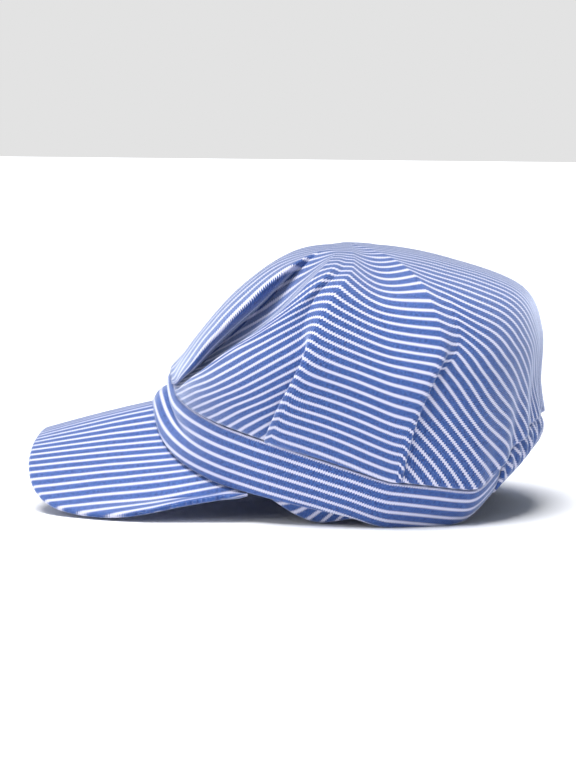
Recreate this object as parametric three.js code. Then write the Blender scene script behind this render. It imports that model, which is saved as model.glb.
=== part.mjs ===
// Railroad engineer cap: a pleated crown of striped cotton on a stitched band, with an arched peak,
// a gathered elastic casing at the back and an inner sweatband.
// Millimetres, +Z up. The peak points to -Y, the wearer's left is +X, and the cap lies on z = 0.
import * as THREE from 'three';
import { mergeVertices } from 'three/addons/utils/BufferGeometryUtils.js';

// Driving dimensions
const RIM_FRONT = 100; // from the middle of the head to the front, over the band's lower edge
const RIM_BACK = 95; // from the middle of the head to the back
const RIM_WIDTH = 152; // side to side over the band's lower edge
const RIM_ARCH = 52; // rise of the band's lower edge at the front
const BAND_HEIGHT = 30; // between the band's two edges at the temples
const BAND_FLARE = 8; // how far the band's upper edge stands out at the sides
const BAND_WALL = 2.2; // folded cotton and its lining
const CROWN_HEIGHT = 133.5; // top of the crown over the surface that the cap lies on
const CROWN_OVERHANG = 1.5; // how far the crown puffs out over the band's upper edge
const CROWN_CLOTH = 1.6; // two layers of cotton twill
const HEM_HEIGHT = 7; // crown cloth that is tucked in behind the band
const HEM_EASE = 0.25; // slack of the hem where it turns over the band's edge
const HEM_SHARE = 0.4; // the hem takes up no more than this share of the band's height
const POCKET_DEPTH = 14; // hollow behind the front pleat
const FOLD_HEIGHT = 4; // step at the edges of the side box pleats
const PANEL_SAG = 5; // broad valley down the middle of a box pleat
const SCALLOP_DEPTH = 1.6; // puckers over the elastic
const SCALLOP_START = 130; // turn from the front, in degrees, where the puckers start
const SCALLOP_FULL = 160; // turn where they reach their full depth
const PUCKERS = 5; // half waves of puckers over half of the casing
const PEAK_HALF_WIDTH = 80;
const PEAK_REACH = 62; // out from the band at the front
const PEAK_WALL = 3; // covered board
const PEAK_EASE = 0.2; // slack of the peak under the band and over what the cap lies on
const PEAK_TUCK = 0.6; // how far the peak's root reaches in past the band's wall
const PEAK_SPAN = 66; // turn from the front, in degrees, where the peak ends on each side
const PEAK_BOW = 2.5; // how far the peak curves up off a straight line from band to lip
const PEAK_ARCH = 31; // height of the peak's lip over its lowest point
const CREASE_DEPTH = 4; // buckle along the front of the band
const CREASE_END = 48; // turn from the front, in degrees, where the buckle has died away
const CREASE_FADE = 30; // turn over which it dies away
const CREASE_SHARE = 0.5; // its height in the band, as a share of the band's height
const CREASE_SPREAD = 0.16; // half of its own height, as a share of the band's
const BAND_BULGE = 1; // how far the middle of the band stands out
const CASING_START = 151; // turn from the front, in degrees, where the elastic casing starts
const CASING_WALL = 2.6;
const CASING_GAP = 0.45; // between the casing's ends and the band's
const GIVE_START = 6; // turn ahead of the casing where the cloth inside starts to give way to it
const GIVE_END = 1; // turn ahead of the casing where that cloth has given way
const GATHER_HEIGHT = 1.1;
const GATHERS = 12; // along the casing
const SWEATBAND_WALL = 1.5;
const SWEATBAND_INSET = 1.5; // its lower edge lies this far above the band's
const SWEATBAND_TOP = 0.7; // its upper edge, as a share of the band's height
const SWEATBAND_EASE = 1.5; // slack between it and the hem of the crown
const SWEATBAND_SAG = 9.5; // loop that hangs out below the band at one temple
const SAG_TURN = 84; // turn from the front, in degrees, of the middle of that loop
const SAG_SPREAD = 23; // half of the loop's length, in degrees
const SAG_POWER = 1.5; // how sharply the loop's two ends rise
const GAP = 0.3; // between pieces that are sewn together

const OVAL_POWER = 2.1; // a little squarer than an ellipse
const CROWN_COLOUR = 0x6f8bc4; // blue twill and white stripes, seen from afar
const BAND_COLOUR = 0x6c88c2;
const PEAK_COLOUR = 0x7691c9;
const CASING_COLOUR = 0x6782bb;
const FACING_COLOUR = 0x6b86be;

// The rim, from the front (turn 0) to the back (turn 180), the same on both sides.
// low: height of the lower edge as a share of RIM_ARCH; tall: height of the band as a share of
// BAND_HEIGHT; flare: how far the upper edge stands out from the lower, as a share of BAND_FLARE.
const RIM = [
  { turn: 0, low: 1.0, tall: 0.57, flare: -1.4 },
  { turn: 10, low: 0.96, tall: 0.6, flare: -1.3 },
  { turn: 21, low: 0.71, tall: 0.75, flare: -1.05 },
  { turn: 31, low: 0.54, tall: 0.9, flare: -0.7 },
  { turn: 41, low: 0.43, tall: 0.97, flare: -0.3 },
  { turn: 50, low: 0.35, tall: 1.0, flare: 0.0 },
  { turn: 63, low: 0.28, tall: 0.98, flare: 0.35 },
  { turn: 83, low: 0.18, tall: 0.92, flare: 0.8 },
  { turn: 99, low: 0.1, tall: 0.83, flare: 1.0 },
  { turn: 113, low: 0.0, tall: 0.78, flare: 1.0 },
  { turn: 134, low: 0.0, tall: 0.62, flare: 1.0 },
  { turn: 142, low: 0.07, tall: 0.5, flare: 0.9 },
  { turn: 154, low: 0.35, tall: 0.48, flare: 0.5 },
  { turn: 165, low: 0.52, tall: 0.5, flare: 0.3 },
  { turn: 180, low: 0.69, tall: 0.45, flare: 0.2 },
];

// Sections of the plain crown under its folds. Each out is a share of the band's upper radius at
// that turn, each up a share of CROWN_HEIGHT.
const CROWN = [
  { turn: 0, topOut: 0.3, topUp: 0.975, shoulderOut: 0.58, shoulderUp: 0.85,
    sideOut: 0.84, sideUp: 0.66, lowOut: 0.93, lowUp: 0.585 },
  { turn: 45, topOut: 0.4, topUp: 0.96, shoulderOut: 0.76, shoulderUp: 0.81,
    sideOut: 0.99, sideUp: 0.6, lowOut: 1.04, lowUp: 0.48 },
  { turn: 90, topOut: 0.55, topUp: 0.965, shoulderOut: 0.88, shoulderUp: 0.865,
    sideOut: 1.06, sideUp: 0.62, lowOut: 1.06, lowUp: 0.41 },
  { turn: 135, topOut: 0.6, topUp: 0.935, shoulderOut: 0.92, shoulderUp: 0.815,
    sideOut: 1.06, sideUp: 0.63, lowOut: 1.06, lowUp: 0.4 },
  { turn: 180, topOut: 0.5, topUp: 0.95, shoulderOut: 0.92, shoulderUp: 0.83,
    sideOut: 1.0, sideUp: 0.68, lowOut: 1.0, lowUp: 0.48 },
];

// Lines that the folds follow down the crown, in degrees of turn. way: share of the way from the
// top to the band; step: turn within which a fold's edge drops to its foot.
const FOLD_LINES = [
  { way: 0.0, pleat: 78, lip: 92, panelFront: 104, panelBack: 138, step: 5 },
  { way: 0.35, pleat: 65, lip: 90.5, panelFront: 98, panelBack: 133, step: 5 },
  { way: 0.5, pleat: 60, lip: 82.5, panelFront: 89.5, panelBack: 131.4, step: 3.6 },
  { way: 0.62, pleat: 52.4, lip: 70.6, panelFront: 85.7, panelBack: 129.6, step: 2.4 },
  { way: 0.72, pleat: 45.8, lip: 57.7, panelFront: 84.7, panelBack: 122.7, step: 2.2 },
  { way: 0.85, pleat: 37.4, lip: 43.6, panelFront: 78.6, panelBack: 117.8, step: 2.2 },
  { way: 1.0, pleat: 18, lip: 23.5, panelFront: 71, panelBack: 115, step: 2.2 },
];

// How strongly each fold shows down the crown, as shares of its full depth.
const FOLD_STRENGTH = [
  { way: 0.0, pocket: 0.0, panel: 0.0, sag: 0.0, scallop: 0.0 },
  { way: 0.2, pocket: 0.05, panel: 0.0, sag: 0.1, scallop: 0.0 },
  { way: 0.35, pocket: 0.4, panel: 0.05, sag: 0.6, scallop: 0.0 },
  { way: 0.5, pocket: 0.85, panel: 0.2, sag: 1.0, scallop: 0.0 },
  { way: 0.65, pocket: 1.0, panel: 0.75, sag: 0.9, scallop: 0.1 },
  { way: 0.8, pocket: 0.75, panel: 1.0, sag: 0.5, scallop: 0.4 },
  { way: 0.9, pocket: 0.4, panel: 0.9, sag: 0.25, scallop: 0.8 },
  { way: 1.0, pocket: 0.1, panel: 0.6, sag: 0.0, scallop: 1.0 },
];

// Strips of crown between two fold lines, from the front to the back. start, middle and end are
// lifts off the plain crown, as shares of the depth that the strip's kind names. fadeIn and fadeOut
// name the folds with which the lifts at its two edges die away toward the top.
const STRIPS = [
  { from: 'front', to: 'pleat', kind: 'pocket', fadeIn: 'pocket', fadeOut: 'pocket',
    start: 0.0, middle: 0.03, end: 0.14, columns: 4 },
  { from: 'pleat', to: 'lip', kind: 'pocket', fadeIn: 'pocket', fadeOut: 'pocket',
    start: -0.95, middle: -0.5, end: 0.2, columns: 5 },
  { from: 'lip', to: 'panelFront', kind: 'pillow', fadeIn: 'pocket', fadeOut: 'panel',
    start: 0.7, middle: 0.35, end: -0.6, columns: 5 },
  { from: 'panelFront', to: 'panelBack', kind: 'panel', fadeIn: 'panel', fadeOut: 'panel',
    start: 0.8, middle: 0.2, end: 0.8, columns: 8 },
  { from: 'panelBack', to: 'back', kind: 'pillow', fadeIn: 'panel', fadeOut: 'panel',
    start: -0.3, middle: 0.3, end: 0.1, columns: 9 },
];

// The peak's lip from its middle to its corner: across as a share of PEAK_HALF_WIDTH, out as a
// share of PEAK_REACH from the band's front, up as a share of PEAK_ARCH.
const PEAK_LIP = [
  { across: 0.0, out: 0.98, up: 0.95 },
  { across: 0.2, out: 0.98, up: 0.87 },
  { across: 0.38, out: 0.975, up: 0.72 },
  { across: 0.55, out: 0.935, up: 0.47 },
  { across: 0.7, out: 0.82, up: 0.22 },
  { across: 0.83, out: 0.62, up: 0.07 },
  { across: 0.94, out: 0.25, up: 0.01 },
  { across: 1.0, out: -0.12, up: 0.03 },
  { across: 0.97, out: -0.56, up: 0.21 },
  { across: 0.93, out: -0.97, up: 0.4 },
];

const PROFILE_STEPS = 48;
const CROWN_ROWS = 18;
const CROWN_TOP_WAY = 0.06; // the first ring of the crown's grid

// Smooth curve through one column of a table. levelEnds makes it run level at both ends, as it
// does where the cap is mirrored.
function smoothColumn(rows, place, column, levelEnds) {
  const x = rows.map((row) => row[place]);
  const y = rows.map((row) => row[column]);
  const slope = rows.map((row, i) => {
    if (levelEnds && (i === 0 || i === rows.length - 1)) {
      return 0;
    }
    const before = Math.max(i - 1, 0);
    const after = Math.min(i + 1, rows.length - 1);
    return (y[after] - y[before]) / (x[after] - x[before]);
  });
  return (at) => {
    const clamped = THREE.MathUtils.clamp(at, x[0], x[x.length - 1]);
    let i = 0;
    while (i < x.length - 2 && clamped > x[i + 1]) {
      i += 1;
    }
    const span = x[i + 1] - x[i];
    const t = (clamped - x[i]) / span;
    const rise = t * t * (3 - 2 * t);
    const bend = t * (1 - t) * span;
    return y[i] * (1 - rise) + y[i + 1] * rise + bend * ((1 - t) * slope[i] - t * slope[i + 1]);
  };
}

const rimLow = smoothColumn(RIM, 'turn', 'low', true);
const rimTall = smoothColumn(RIM, 'turn', 'tall', true);
const rimFlare = smoothColumn(RIM, 'turn', 'flare', true);

// Turns are in degrees from the front, positive toward +X.
function placed(turn, radius, height) {
  const angle = THREE.MathUtils.degToRad(turn);
  return new THREE.Vector3(radius * Math.sin(angle), -radius * Math.cos(angle), height);
}

function ovalRadius(turn) {
  const angle = THREE.MathUtils.degToRad(turn);
  const along = Math.abs(Math.cos(angle)) / (Math.cos(angle) > 0 ? RIM_FRONT : RIM_BACK);
  const across = Math.abs(Math.sin(angle)) / (RIM_WIDTH / 2);
  return (along ** OVAL_POWER + across ** OVAL_POWER) ** (-1 / OVAL_POWER);
}

function bandLow(turn) {
  return Math.max(0, rimLow(Math.abs(turn)) * RIM_ARCH);
}

function bandHeight(turn, share) {
  return bandLow(turn) + share * rimTall(Math.abs(turn)) * BAND_HEIGHT;
}

// Middle of the band's wall. The crease runs along its front, under the middle of its height.
function bandRadius(turn, share) {
  const side = Math.abs(turn);
  const frontness = THREE.MathUtils.smoothstep(CREASE_END - side, 0, CREASE_FADE);
  const crease = CREASE_DEPTH * frontness * Math.exp(-(((share - CREASE_SHARE) / CREASE_SPREAD) ** 2));
  const bulge = BAND_BULGE * Math.sin(Math.PI * THREE.MathUtils.clamp(share, 0, 1));
  return ovalRadius(turn) + share * rimFlare(side) * BAND_FLARE + bulge - crease;
}

// The casing is thicker than the band, and the cloth inside them starts to give way before it.
function rimWall(turn) {
  const reach = THREE.MathUtils.smoothstep(
    Math.abs(turn), CASING_START - GIVE_START, CASING_START - GIVE_END,
  );
  return BAND_WALL + (CASING_WALL - BAND_WALL) * reach;
}

// A closed solid between an outer and an inner grid of points, each a list of columns from the
// top down. ring joins the last column to the first, and pole closes the top in one point.
function sheetSolid(outer, inner, ring, pole) {
  const positions = [];
  const push = (a, b, c) => [a, b, c].forEach((p) => positions.push(p.x, p.y, p.z));
  const quad = (a, b, c, d) => {
    push(a, b, c);
    push(a, c, d);
  };
  const count = outer.length;
  const rows = outer[0].length;
  const last = ring ? count : count - 1;
  for (let i = 0; i < last; i += 1) {
    const j = (i + 1) % count;
    for (let k = 0; k < rows - 1; k += 1) {
      quad(outer[i][k], outer[i][k + 1], outer[j][k + 1], outer[j][k]);
      quad(inner[j][k], inner[j][k + 1], inner[i][k + 1], inner[i][k]);
    }
    quad(outer[i][rows - 1], inner[i][rows - 1], inner[j][rows - 1], outer[j][rows - 1]);
    if (pole) {
      push(pole.outer, outer[i][0], outer[j][0]);
      push(pole.inner, inner[j][0], inner[i][0]);
    } else {
      quad(inner[i][0], outer[i][0], outer[j][0], inner[j][0]);
    }
  }
  if (!ring) {
    for (let k = 0; k < rows - 1; k += 1) {
      quad(inner[0][k], inner[0][k + 1], outer[0][k + 1], outer[0][k]);
      quad(outer[count - 1][k], outer[count - 1][k + 1], inner[count - 1][k + 1], inner[count - 1][k]);
    }
  }
  const geometry = new THREE.BufferGeometry();
  geometry.setAttribute('position', new THREE.Float32BufferAttribute(positions, 3));
  const merged = mergeVertices(geometry, 1e-4);
  merged.computeVertexNormals();
  return merged;
}

// Unit normals of a grid of points, found from each point's neighbours.
function gridNormals(grid, ring) {
  const count = grid.length;
  const rows = grid[0].length;
  return grid.map((column, i) => column.map((point, k) => {
    const left = grid[ring ? (i + count - 1) % count : Math.max(i - 1, 0)][k];
    const right = grid[ring ? (i + 1) % count : Math.min(i + 1, count - 1)][k];
    const above = column[Math.max(k - 1, 0)];
    const below = column[Math.min(k + 1, rows - 1)];
    const across = right.clone().sub(left);
    const down = below.clone().sub(above);
    return down.cross(across).normalize();
  }));
}

function offsetGrid(grid, normals, distance) {
  return grid.map((column, i) => column.map((p, k) => p.clone().addScaledVector(normals[i][k], distance)));
}

function spread(from, to, steps) {
  return Array.from({ length: steps + 1 }, (_, i) => from + ((to - from) * i) / steps);
}

function cloth(name, geometry, colour, roughness) {
  const material = new THREE.MeshStandardMaterial({ color: colour, roughness, metalness: 0 });
  const mesh = new THREE.Mesh(geometry, material);
  mesh.name = name;
  return mesh;
}

// The plain crown: one smooth section from the top down at each turn.
const crownColumns = ['topOut', 'topUp', 'shoulderOut', 'shoulderUp', 'sideOut', 'sideUp', 'lowOut', 'lowUp'];
const crownShare = Object.fromEntries(
  crownColumns.map((column) => [column, smoothColumn(CROWN, 'turn', column, true)]),
);

function crownProfile(turn) {
  const side = Math.abs(turn);
  const edgeRadius = bandRadius(turn, 1) + BAND_WALL / 2;
  const edgeHeight = bandHeight(turn, 1) + CROWN_OVERHANG;
  const knot = (name) => new THREE.Vector3(
    crownShare[`${name}Out`](side) * edgeRadius, crownShare[`${name}Up`](side) * CROWN_HEIGHT, 0,
  );
  const top = knot('top');
  const mirrored = new THREE.Vector3(-top.x, top.y, 0);
  const summit = new THREE.Vector3(0, CROWN_HEIGHT, 0);
  const edge = new THREE.Vector3(edgeRadius + CROWN_OVERHANG / 2, edgeHeight, 0);
  const knots = [mirrored, summit, top, knot('shoulder'), knot('side'), knot('low'), edge];
  const curve = new THREE.CatmullRomCurve3(knots, false, 'centripetal');
  const first = 1 / (knots.length - 1);
  const points = spread(first, 1, PROFILE_STEPS).map((t) => curve.getPoint(t));
  const lengths = [0];
  points.slice(1).forEach((p, i) => lengths.push(lengths[i] + p.distanceTo(points[i])));
  return { points, lengths };
}

const profiles = new Map();

function crownPoint(turn, way) {
  const key = turn.toFixed(4);
  if (!profiles.has(key)) {
    profiles.set(key, crownProfile(turn));
  }
  const { points, lengths } = profiles.get(key);
  const wanted = way * lengths[lengths.length - 1];
  let i = 0;
  while (i < lengths.length - 2 && wanted > lengths[i + 1]) {
    i += 1;
  }
  const t = (wanted - lengths[i]) / (lengths[i + 1] - lengths[i]);
  const p = points[i].clone().lerp(points[i + 1], t);
  return placed(turn, p.x, p.y);
}

function crownNormal(turn, way) {
  const reach = 0.01;
  const across = crownPoint(turn + 0.5, way).sub(crownPoint(turn - 0.5, way));
  const down = crownPoint(turn, Math.min(way + reach, 1)).sub(crownPoint(turn, way - reach));
  return down.cross(across).normalize();
}

const foldLine = {
  front: () => 0,
  pleat: smoothColumn(FOLD_LINES, 'way', 'pleat', false),
  lip: smoothColumn(FOLD_LINES, 'way', 'lip', false),
  panelFront: smoothColumn(FOLD_LINES, 'way', 'panelFront', false),
  panelBack: smoothColumn(FOLD_LINES, 'way', 'panelBack', false),
  back: () => 180,
  step: smoothColumn(FOLD_LINES, 'way', 'step', false),
};
const strength = {
  pocket: smoothColumn(FOLD_STRENGTH, 'way', 'pocket', false),
  panel: smoothColumn(FOLD_STRENGTH, 'way', 'panel', false),
  sag: smoothColumn(FOLD_STRENGTH, 'way', 'sag', false),
  scallop: smoothColumn(FOLD_STRENGTH, 'way', 'scallop', false),
};

// Lift of the folded cloth off the plain crown, at a share of the way across one strip.
function foldLift(strip, share, turn, way) {
  const fadeIn = (1 - share) * strength[strip.fadeIn](way);
  const fadeOut = share * strength[strip.fadeOut](way);
  const hump = (strip.middle - (strip.start + strip.end) / 2) * Math.sin(Math.PI * share);
  const shape = strip.start * fadeIn + strip.end * fadeOut + hump * (fadeIn + fadeOut);
  if (strip.kind === 'pocket') {
    return shape * POCKET_DEPTH;
  }
  const lift = shape * FOLD_HEIGHT;
  if (strip.kind === 'panel') {
    return lift - PANEL_SAG * strength.sag(way) * Math.sin(Math.PI * share);
  }
  const backness = THREE.MathUtils.smoothstep(turn, SCALLOP_START, SCALLOP_FULL);
  const scallop = Math.cos((turn / (180 - CASING_START)) * Math.PI * PUCKERS);
  return lift + backness * SCALLOP_DEPTH * strength.scallop(way) * scallop;
}

// Turn of a share of the way across a strip, which starts and ends at the edge or foot of a fold.
function stripTurn(strip, share, way) {
  const margin = foldLine.step(way) / 2;
  const from = foldLine[strip.from](way) + (strip.from === 'front' ? 0 : margin);
  const to = foldLine[strip.to](way) - (strip.to === 'back' ? 0 : margin);
  return from + (to - from) * share;
}

function crownColumn(strip, share, side) {
  const column = spread(CROWN_TOP_WAY, 1, CROWN_ROWS).map((way) => {
    const turn = stripTurn(strip, share, way);
    const lift = foldLift(strip, share, turn, way);
    return crownPoint(side * turn, way).addScaledVector(crownNormal(side * turn, way), lift);
  });
  return column.concat(hemPoints(side * stripTurn(strip, share, 1)));
}

// The crown's lower edge turns in over the band's upper edge and hangs down behind it.
function hemPoints(turn) {
  const tall = bandHeight(turn, 1) - bandLow(turn);
  const hemShare = 1 - Math.min(HEM_HEIGHT / tall, HEM_SHARE);
  const top = bandHeight(turn, 1);
  const lean = Math.atan2(bandRadius(turn, 1) - bandRadius(turn, hemShare), top - bandHeight(turn, hemShare));
  const over = GAP + CROWN_CLOTH / 2 + HEM_EASE;
  const behind = rimWall(turn) / 2 + GAP + CROWN_CLOTH / 2 / Math.cos(lean) + HEM_EASE;
  return [
    placed(turn, bandRadius(turn, 1), top + over),
    placed(turn, bandRadius(turn, 1) - behind, top + over - HEM_EASE),
    placed(turn, bandRadius(turn, hemShare) - behind, bandHeight(turn, hemShare)),
  ];
}

function crownGeometry() {
  const half = (side) => STRIPS.flatMap((strip) => spread(0, 1, strip.columns)
    .map((share) => crownColumn(strip, share, side)));
  const right = half(1);
  const left = half(-1).slice(1, -1).reverse();
  const grid = right.concat(left);
  const normals = gridNormals(grid, true);
  const outer = offsetGrid(grid, normals, CROWN_CLOTH / 2);
  const inner = offsetGrid(grid, normals, -CROWN_CLOTH / 2);
  const pole = {
    outer: new THREE.Vector3(0, 0, CROWN_HEIGHT + CROWN_CLOTH / 2),
    inner: new THREE.Vector3(0, 0, CROWN_HEIGHT - CROWN_CLOTH / 2),
  };
  return sheetSolid(outer, inner, true, pole);
}

// A strip of the rim between two turns and two shares of the band's height.
function rimStrip(turns, shares, wall, radiusAt, ring) {
  const grid = (offset) => turns.map((turn) => shares(turn)
    .map((share) => placed(turn, radiusAt(turn, share) + offset, bandHeight(turn, share))));
  return sheetSolid(grid(wall / 2), grid(-wall / 2), ring, null);
}

function headbandGeometry() {
  const turns = spread(-CASING_START, CASING_START, 64);
  const shares = [1, 0.82, 0.66, 0.5, 0.34, 0.18, 0];
  return rimStrip(turns, () => shares, BAND_WALL, bandRadius, false);
}

function backElasticGeometry() {
  const clearance = THREE.MathUtils.radToDeg(CASING_GAP / RIM_BACK);
  const turns = spread(CASING_START + clearance, 360 - CASING_START - clearance, GATHERS * 4);
  const shares = [1, 0.75, 0.5, 0.25, 0];
  const wrapped = (turn) => (turn > 180 ? turn - 360 : turn);
  const span = 360 - 2 * CASING_START;
  const gather = (turn, share) => {
    const wave = (1 + Math.cos(((turn - CASING_START) / span) * GATHERS * 2 * Math.PI)) / 2;
    return GATHER_HEIGHT * wave * Math.sin(Math.PI * share);
  };
  const point = (turn, share, offset) => placed(
    turn, bandRadius(wrapped(turn), share) + offset, bandHeight(wrapped(turn), share),
  );
  const outer = turns.map((turn) => shares
    .map((share) => point(turn, share, CASING_WALL / 2 + gather(turn, share))));
  const inner = turns.map((turn) => shares.map((share) => point(turn, share, -CASING_WALL / 2)));
  return sheetSolid(outer, inner, false, null);
}

function sweatbandGeometry() {
  const turns = spread(-180, 180, 72).slice(0, -1);
  const inset = CASING_WALL / 2 + 2 * GAP + CROWN_CLOTH + SWEATBAND_WALL / 2 + SWEATBAND_EASE;
  const shares = (turn) => {
    const tall = bandHeight(turn, 1) - bandLow(turn);
    const near = Math.abs(turn - SAG_TURN) / SAG_SPREAD;
    const sag = near < 1 ? SWEATBAND_SAG * Math.cos((Math.PI / 2) * near) ** SAG_POWER : 0;
    return spread(SWEATBAND_TOP, (SWEATBAND_INSET - sag) / tall, 3);
  };
  return rimStrip(turns, shares, SWEATBAND_WALL, (turn, share) => bandRadius(turn, share) - inset, true);
}

// Middle of the peak's wall under the band's lower edge, deep enough to clear the slope there.
function peakRoot(turn, out) {
  const step = 1;
  const ahead = placed(turn + step, ovalRadius(turn + step), bandLow(turn + step));
  const behind = placed(turn - step, ovalRadius(turn - step), bandLow(turn - step));
  const run = ahead.clone().sub(behind);
  const slope = Math.atan2(Math.abs(run.z), Math.hypot(run.x, run.y));
  const drop = (PEAK_WALL / 2 + GAP + PEAK_EASE) / Math.cos(slope);
  return placed(turn, bandRadius(turn, 0) + out, bandLow(turn) - drop);
}

const lipRows = PEAK_LIP.map((row, i) => ({ ...row, place: i / (PEAK_LIP.length - 1) }));
const lipAcross = smoothColumn(lipRows, 'place', 'across', false);
const lipOut = smoothColumn(lipRows, 'place', 'out', true);
const lipUp = smoothColumn(lipRows, 'place', 'up', true);

function peakLip(across) {
  const place = Math.abs(across);
  return new THREE.Vector3(
    Math.sign(across) * lipAcross(place) * PEAK_HALF_WIDTH,
    -RIM_FRONT - lipOut(place) * PEAK_REACH,
    PEAK_WALL / 2 + PEAK_EASE + lipUp(place) * PEAK_ARCH,
  );
}

function brimGeometry() {
  const columns = 32;
  const grid = spread(-1, 1, columns).map((across) => {
    const turn = across * PEAK_SPAN;
    const tucked = peakRoot(turn, -BAND_WALL / 2 - PEAK_TUCK);
    const root = peakRoot(turn, BAND_WALL / 2);
    const lip = peakLip(across);
    const bow = PEAK_BOW * (1 - across ** 2);
    const bowed = (share) => root.clone().lerp(lip, share)
      .add(new THREE.Vector3(0, 0, bow * Math.sin(Math.PI * share)));
    return [tucked].concat(spread(0, 1, 7).map(bowed));
  });
  const normals = gridNormals(grid, false);
  const outer = offsetGrid(grid, normals, PEAK_WALL / 2);
  const inner = offsetGrid(grid, normals, -PEAK_WALL / 2);
  return sheetSolid(outer, inner, false, null);
}

const cap = new THREE.Group();
cap.add(cloth('crown', crownGeometry(), CROWN_COLOUR, 0.88));
cap.add(cloth('headband', headbandGeometry(), BAND_COLOUR, 0.86));
cap.add(cloth('brim', brimGeometry(), PEAK_COLOUR, 0.84));
cap.add(cloth('back_elastic', backElasticGeometry(), CASING_COLOUR, 0.9));
cap.add(cloth('sweatband', sweatbandGeometry(), FACING_COLOUR, 0.9));

// The origin is the middle of the cap's outer box, on the surface that it lies on.
const outline = new THREE.Box3().setFromObject(cap, true);
const middle = outline.getCenter(new THREE.Vector3());
cap.position.set(-middle.x, -middle.y, -outline.min.z);

export default cap;
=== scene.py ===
"""Railroad engineer cap of striped cotton twill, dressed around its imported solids. Metres, +Z up."""

from math import cos, pi, radians, sin

import bpy
import numpy as np
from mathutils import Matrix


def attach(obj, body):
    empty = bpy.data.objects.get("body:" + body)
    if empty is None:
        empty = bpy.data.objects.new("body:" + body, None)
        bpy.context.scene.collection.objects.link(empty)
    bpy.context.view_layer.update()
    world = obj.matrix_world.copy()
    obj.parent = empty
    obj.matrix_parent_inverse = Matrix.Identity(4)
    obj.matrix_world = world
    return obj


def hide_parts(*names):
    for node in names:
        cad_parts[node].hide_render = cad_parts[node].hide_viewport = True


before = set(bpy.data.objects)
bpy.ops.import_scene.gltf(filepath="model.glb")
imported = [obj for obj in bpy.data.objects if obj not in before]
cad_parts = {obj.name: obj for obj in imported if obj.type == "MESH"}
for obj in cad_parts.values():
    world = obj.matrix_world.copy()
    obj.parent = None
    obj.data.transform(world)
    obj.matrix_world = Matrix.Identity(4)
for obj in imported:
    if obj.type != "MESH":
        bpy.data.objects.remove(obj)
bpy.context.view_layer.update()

# Crown: one bag of striped cotton twill, cut as a round, with its stripes from front to back.
# Two knife pleats at the front and a box pleat on each side take up its fullness, and its edge
# is turned in and stitched behind the band.
RIM_FRONT = 0.100
RIM_BACK = 0.095
RIM_HALF_WIDTH = 0.076
OVAL_POWER = 2.1
RIM_ARCH = 0.052
BAND_HEIGHT = 0.030
BAND_FLARE = 0.008
BAND_WALL = 0.0022
CREASE_DEPTH = 0.004
CREASE_END = 48
CREASE_FADE = 30
CREASE_SHARE = 0.5
CREASE_SPREAD = 0.16
BAND_BULGE = 0.25
CROWN_HEIGHT = 0.1335
CROWN_OVERHANG = 0.0015
CROWN_CLOTH = 0.0009
HEM_HEIGHT = 0.007
HEM_ROLL = 0.0011
HEM_FALL = 0.0006
HEM_GAP = 0.0013
HEM_MOST = 0.4
POCKET_DEPTH = 0.014
FOLD_HEIGHT = 0.004
PANEL_SAG = 0.0065
SCALLOP_DEPTH = 0.0016
SCALLOP_START = 130
SCALLOP_FULL = 160
PUCKERS = 5
CASING_START = 151.0
STRIPE_PITCH = 0.0052
STRIPE_WIDTH = 0.0016

# The middle of the rim lies this far behind the middle of the whole cap with its peak.
rim_shift = 0.03058

# Turns are in degrees from the front. The band's lower edge, height and flare are shares of the
# rim's arch, the band's height and its flare.
RIM = {
    "turn": [0, 10, 21, 31, 41, 50, 63, 83, 99, 113, 134, 142, 154, 165, 180],
    "low": [1.0, 0.96, 0.71, 0.54, 0.43, 0.35, 0.28, 0.18, 0.1, 0.0, 0.0, 0.07, 0.35, 0.52, 0.69],
    "tall": [0.57, 0.6, 0.75, 0.9, 0.97, 1.0, 0.98, 0.92, 0.83, 0.78, 0.62, 0.5, 0.48, 0.5, 0.45],
    "flare": [-1.4, -1.3, -1.05, -0.7, -0.3, 0.0, 0.35, 0.8, 1.0, 1.0, 1.0, 0.9, 0.5, 0.3, 0.2],
}
# The crown's line from its top down to the band: outward in shares of the band's radius, upward
# in shares of the crown's height.
CROWN = {
    "turn": [0, 45, 90, 135, 180],
    "topOut": [0.3, 0.4, 0.55, 0.6, 0.5],
    "topUp": [0.975, 0.96, 0.965, 0.935, 0.95],
    "shoulderOut": [0.58, 0.76, 0.88, 0.92, 0.92],
    "shoulderUp": [0.85, 0.81, 0.865, 0.815, 0.83],
    "sideOut": [0.84, 0.99, 1.06, 1.06, 1.0],
    "sideUp": [0.66, 0.6, 0.62, 0.63, 0.68],
    "lowOut": [0.93, 1.04, 1.06, 1.05, 0.99],
    "lowUp": [0.585, 0.48, 0.41, 0.4, 0.48],
}
# Where each fold lies, in degrees of turn, by the way down the crown from its top at 0 to its
# edge at 1. The steps are the turn within which an edge drops to its foot.
FOLD_LINES = {
    "way": [0.0, 0.35, 0.5, 0.62, 0.72, 0.85, 1.0],
    "pleat": [75, 62, 56, 48.5, 42.5, 35, 17],
    "lip": [92, 89, 82.5, 70.6, 57.7, 43.6, 23.5],
    "panel_front": [104, 98, 89.5, 85.7, 84.7, 78.6, 71],
    "panel_back": [138, 133, 131.4, 129.6, 122.7, 117.8, 115],
    "step": [5, 4, 3.6, 2.4, 2.2, 2.2, 2.2],
    "panel_step": [5, 5, 7, 6, 2.4, 2.2, 2.2],
}
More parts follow.
